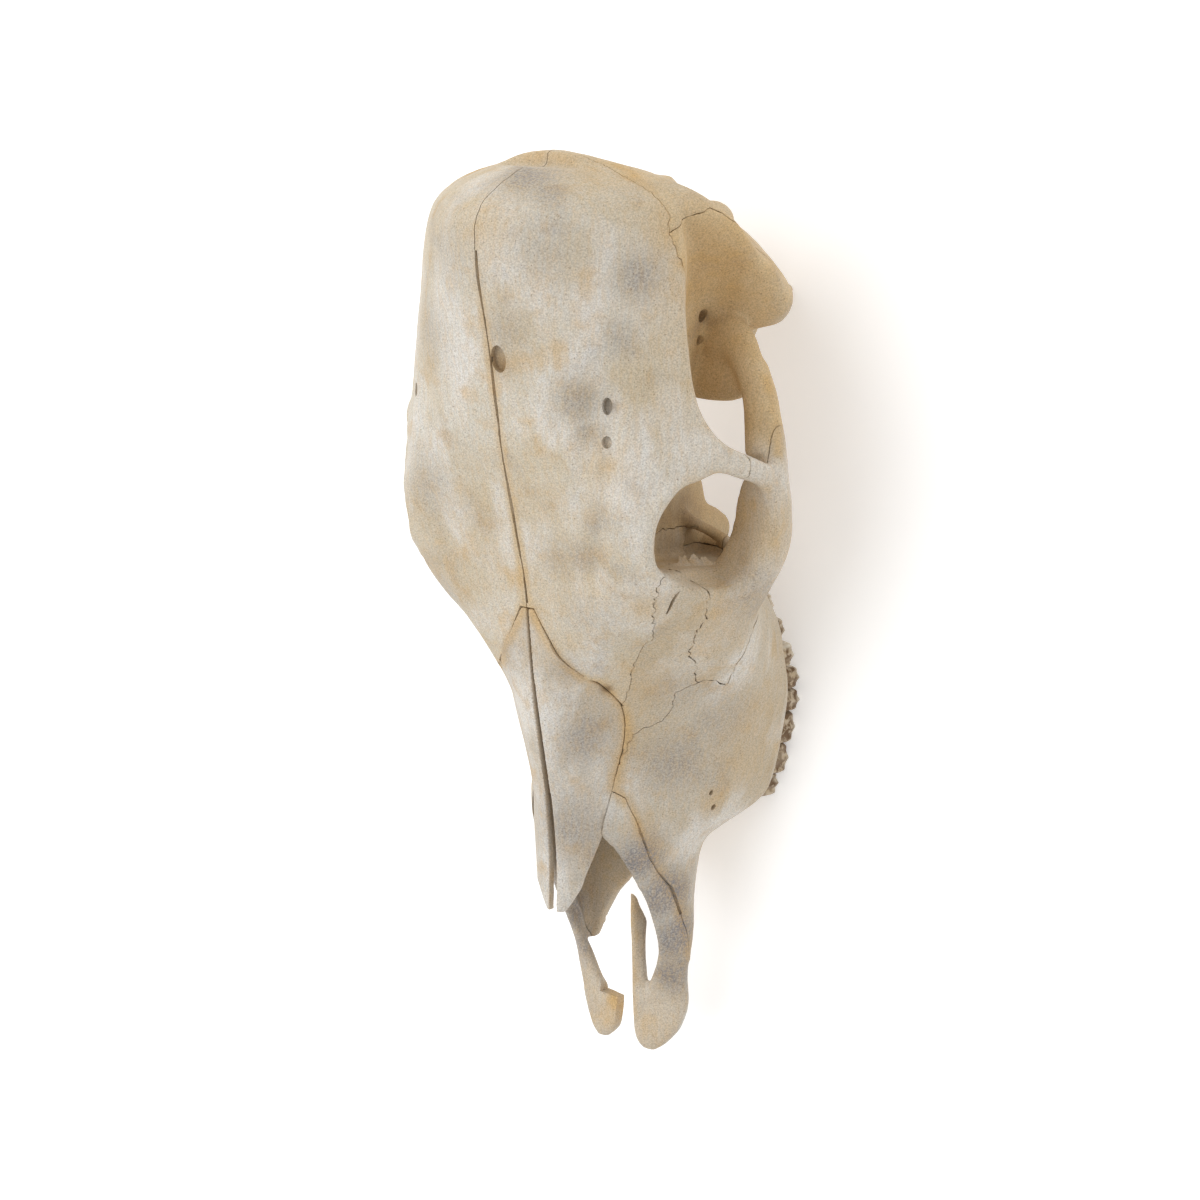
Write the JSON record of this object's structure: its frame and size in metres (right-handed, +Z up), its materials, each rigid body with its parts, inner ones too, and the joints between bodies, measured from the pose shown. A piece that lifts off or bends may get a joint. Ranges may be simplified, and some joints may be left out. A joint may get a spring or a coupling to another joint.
{
  "type": "cow skull",
  "caption": "Life-size cranium of a hornless cow without its lower jaw, lying on its cheek teeth and jugular processes, with open orbits and nose.",
  "frame": {"origin": "middle of the underside of the bounding box, at the level that the cheek teeth stand on", "axes": "nose along -Y, poll along +Y, the animal's left side +X, +Z up, in the pose in which the skull rests on a floor"},
  "size_m": [0.2214, 0.4778, 0.2142],
  "materials": {
    "frontal_bone": "dry matte bone",
    "nasal_bone": "dry matte bone",
    "premaxilla_bone": "dry matte bone",
    "maxilla_bone": "dry matte bone",
    "lacrimal_bone": "dry matte bone",
    "zygomatic_bone": "dry matte bone",
    "temporal_bone": "dry matte bone",
    "occiput_bone": "dry matte bone",
    "skull_base_bone": "dry matte bone"
  },
  "bodies": {
    "root": {"frontal_left": "frontal_bone", "frontal_right": "frontal_bone", "nasal_left": "nasal_bone", "nasal_right": "nasal_bone", "premaxilla_left": "premaxilla_bone", "premaxilla_right": "premaxilla_bone", "maxilla_left": "maxilla_bone", "maxilla_right": "maxilla_bone", "lacrimal_left": "lacrimal_bone", "lacrimal_right": "lacrimal_bone", "zygomatic_left": "zygomatic_bone", "zygomatic_right": "zygomatic_bone", "temporal_left": "temporal_bone", "temporal_right": "temporal_bone", "occiput": "occiput_bone", "skull_base": "skull_base_bone"}
  },
  "joints": []
}
